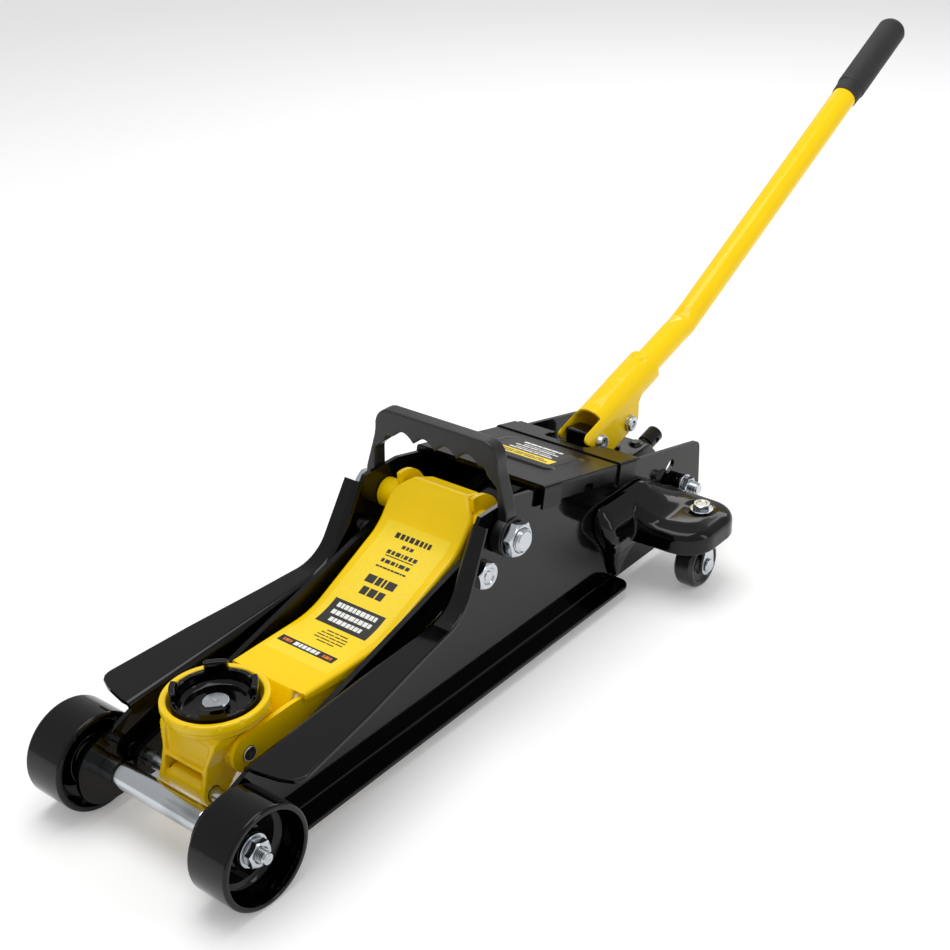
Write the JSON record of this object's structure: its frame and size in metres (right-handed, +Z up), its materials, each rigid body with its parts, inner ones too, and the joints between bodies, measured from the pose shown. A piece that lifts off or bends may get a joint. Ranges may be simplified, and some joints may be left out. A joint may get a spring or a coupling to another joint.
{
  "type": "hydraulic trolley jack",
  "caption": "Low-profile hydraulic trolley jack with level-keeping lift arm, swivelling rear casters, folding carry handle and a bent pump handle.",
  "frame": {"origin": "on the floor under the middle of the jack's box with the pump handle at rest", "axes": "+Y from the saddle end back to the pump handle, +Z up, +X towards the operator's left as they face the saddle"},
  "size_m": [0.2916, 1.1534, 0.3956],
  "materials": {
    "black_enamel": "gloss black enamel on pressed steel",
    "yellow_enamel": "gloss safety-yellow enamel on pressed steel",
    "zinc": "bright zinc plate",
    "bright_steel": "ground bright steel",
    "cast_steel": "satin black phosphated steel",
    "black_plastic": "satin moulded plastic",
    "black_rubber": "matt moulded grip rubber"
  },
  "bodies": {
    "chassis": {"axle_nut_left": "zinc", "axle_nut_right": "zinc", "axle_washer_left": "zinc", "axle_washer_right": "zinc", "caster_bolt_left": "zinc", "caster_bolt_right": "zinc", "caster_bracket_left": "black_enamel", "caster_bracket_right": "black_enamel", "cylinder_gland": "zinc", "front_axle": "zinc", "hydraulic_cylinder": "black_enamel", "lift_pivot_nut_left": "zinc", "lift_pivot_nut_right": "zinc", "lift_pivot_shaft": "zinc", "link_bolt_left": "zinc", "link_bolt_right": "zinc", "plunger_spring": "bright_steel", "pump_block": "black_enamel", "rear_tie_rod": "zinc", "return_spring_left": "bright_steel", "return_spring_right": "bright_steel", "side_plate_left": "black_enamel", "side_plate_right": "black_enamel", "tie_rod_nut_left": "zinc", "tie_rod_nut_right": "zinc", "tie_rod_spacer_left": "black_enamel", "tie_rod_spacer_right": "black_enamel", "top_cover": "black_enamel"},
    "lift_arm": {"arm_cheek_left": "yellow_enamel", "arm_cheek_right": "yellow_enamel", "arm_cover": "yellow_enamel", "ram_pin": "bright_steel", "saddle_pivot_pin": "zinc"},
    "saddle": {"link_pin": "zinc", "saddle_bolt": "zinc", "saddle_support": "yellow_enamel"},
    "front_wheel_left": {"front_wheel_left": "black_enamel"},
    "caster_swivel_left": {"caster_axle_left": "zinc", "caster_fork_left": "zinc"},
    "caster_wheel_left": {"caster_wheel_left": "black_plastic"},
    "link_left": {"link_bar_left": "black_enamel"},
    "front_wheel_right": {"front_wheel_right": "black_enamel"},
    "caster_swivel_right": {"caster_axle_right": "zinc", "caster_fork_right": "zinc"},
    "caster_wheel_right": {"caster_wheel_right": "black_plastic"},
    "link_right": {"link_bar_right": "black_enamel"},
    "saddle_pad": {"saddle_pad": "black_enamel"},
    "ram": {"piston_rod": "bright_steel", "ram_head": "cast_steel"},
    "plunger": {"pump_plunger": "bright_steel"},
    "release_valve": {"release_valve": "cast_steel"},
    "handle": {"handle_grip": "black_rubber", "handle_socket": "yellow_enamel", "handle_tube": "yellow_enamel", "plunger_roller": "bright_steel", "roller_bolt": "zinc", "socket_pivot_bolt": "zinc"},
    "carry_handle": {"carry_handle": "black_plastic"}
  },
  "joints": [
    {"name": "front_wheel_left_spin", "type": "hinge", "parent": "chassis", "child": "front_wheel_left", "pos_m": [0.0886, -0.5367, 0.04], "axis": [1, 0, 0], "continuous": true},
    {"name": "caster_left_swivel", "type": "hinge", "parent": "chassis", "child": "caster_swivel_left", "pos_m": [0.118, 0.0003, 0.068], "axis": [0, 0, 1], "continuous": true},
    {"name": "caster_wheel_left_spin", "type": "hinge", "parent": "caster_swivel_left", "child": "caster_wheel_left", "pos_m": [0.118, -0.0077, 0.0234], "axis": [1, 0, 0], "continuous": true},
    {"name": "front_wheel_right_spin", "type": "hinge", "parent": "chassis", "child": "front_wheel_right", "pos_m": [-0.0886, -0.5367, 0.04], "axis": [1, 0, 0], "continuous": true},
    {"name": "caster_right_swivel", "type": "hinge", "parent": "chassis", "child": "caster_swivel_right", "pos_m": [-0.118, 0.0003, 0.068], "axis": [0, 0, 1], "continuous": true},
    {"name": "caster_wheel_right_spin", "type": "hinge", "parent": "caster_swivel_right", "child": "caster_wheel_right", "pos_m": [-0.118, -0.0077, 0.0234], "axis": [1, 0, 0], "continuous": true},
    {"name": "lift_arm_raise", "type": "hinge", "parent": "chassis", "child": "lift_arm", "pos_m": [0, -0.2207, 0.134], "axis": [-1, 0, 0], "range_deg": [0, 50]},
    {"name": "saddle_level", "type": "hinge", "parent": "lift_arm", "child": "saddle", "pos_m": [0, -0.4817, 0.062], "axis": [-1, 0, 0], "range_deg": [-50, 0]},
    {"name": "link_left_raise", "type": "hinge", "parent": "chassis", "child": "link_left", "pos_m": [0.048, -0.2487, 0.11], "axis": [-1, 0, 0], "range_deg": [0, 50]},
    {"name": "link_right_raise", "type": "hinge", "parent": "chassis", "child": "link_right", "pos_m": [-0.048, -0.2487, 0.11], "axis": [-1, 0, 0], "range_deg": [0, 50]},
    {"name": "ram_extend", "type": "slide", "parent": "chassis", "child": "ram", "axis": [0, -1, 0], "range_m": [0, 0.055]},
    {"name": "saddle_pad_turn", "type": "hinge", "parent": "saddle", "child": "saddle_pad", "pos_m": [0, -0.4782, 0.0975], "axis": [0, 0, 1], "continuous": true},
    {"name": "handle_pump", "type": "hinge", "parent": "chassis", "child": "handle", "pos_m": [0, -0.0147, 0.118], "axis": [1, 0, 0], "range_deg": [0, 50]},
    {"name": "plunger_stroke", "type": "slide", "parent": "chassis", "child": "plunger", "axis": [0, 0, 1], "range_m": [0, 0.03627], "deforming": ["plunger_spring"]},
    {"name": "release_valve_turn", "type": "hinge", "parent": "chassis", "child": "release_valve", "pos_m": [0, 0.0633, 0.064], "axis": [0, 0.9659, 0.2588], "range_deg": [0, 180]},
    {"name": "carry_handle_fold", "type": "hinge", "parent": "chassis", "child": "carry_handle", "pos_m": [0, -0.2207, 0.134], "axis": [-1, 0, 0], "range_deg": [0, 40]}
  ],
  "couplings": [
    {"joint": "saddle_level", "follows": "lift_arm_raise", "ratio": -1},
    {"joint": "link_left_raise", "follows": "lift_arm_raise", "ratio": 1},
    {"joint": "link_right_raise", "follows": "lift_arm_raise", "ratio": 1},
    {"joint": "ram_extend", "follows": "lift_arm_raise", "m_per_rad": 0.062957},
    {"joint": "plunger_stroke", "follows": "handle_pump", "m_per_rad": 0.041536}
  ]
}
